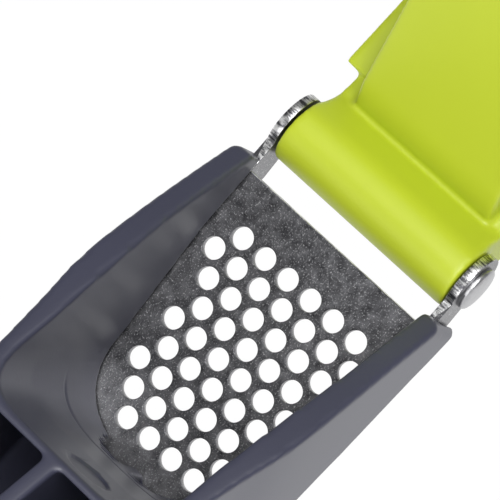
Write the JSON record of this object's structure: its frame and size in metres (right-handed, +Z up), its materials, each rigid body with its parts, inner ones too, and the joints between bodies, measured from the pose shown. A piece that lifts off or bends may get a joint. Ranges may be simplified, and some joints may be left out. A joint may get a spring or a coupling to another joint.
{
  "type": "garlic press",
  "caption": "Hinged hand press: a slanted strainer hopper in the lower handle, and an upper lever whose block swings down into it.",
  "frame": {"origin": "centre of the flat land under the hopper, on which the press rests", "axes": "+X along the handles towards the hinge and the open lever, +Z up, Y along the hinge pin"},
  "size_m": [0.2944, 0.029, 0.1131],
  "materials": {
    "handle_plastic": "satin slate grey",
    "strainer_steel": "rolled sheet with punched edges",
    "lever_plastic": "satin lime green",
    "pin_steel": "plain"
  },
  "bodies": {
    "lower_handle": {"lower_handle": "handle_plastic", "strainer_plate": "strainer_steel", "hinge_pin": "pin_steel"},
    "upper_lever": {"upper_lever": "lever_plastic"}
  },
  "joints": [
    {"name": "press_hinge", "type": "hinge", "parent": "lower_handle", "child": "upper_lever", "pos_m": [0.04316, 0, 0.02152], "axis": [0, -1, 0], "range_deg": [0, 142]}
  ]
}
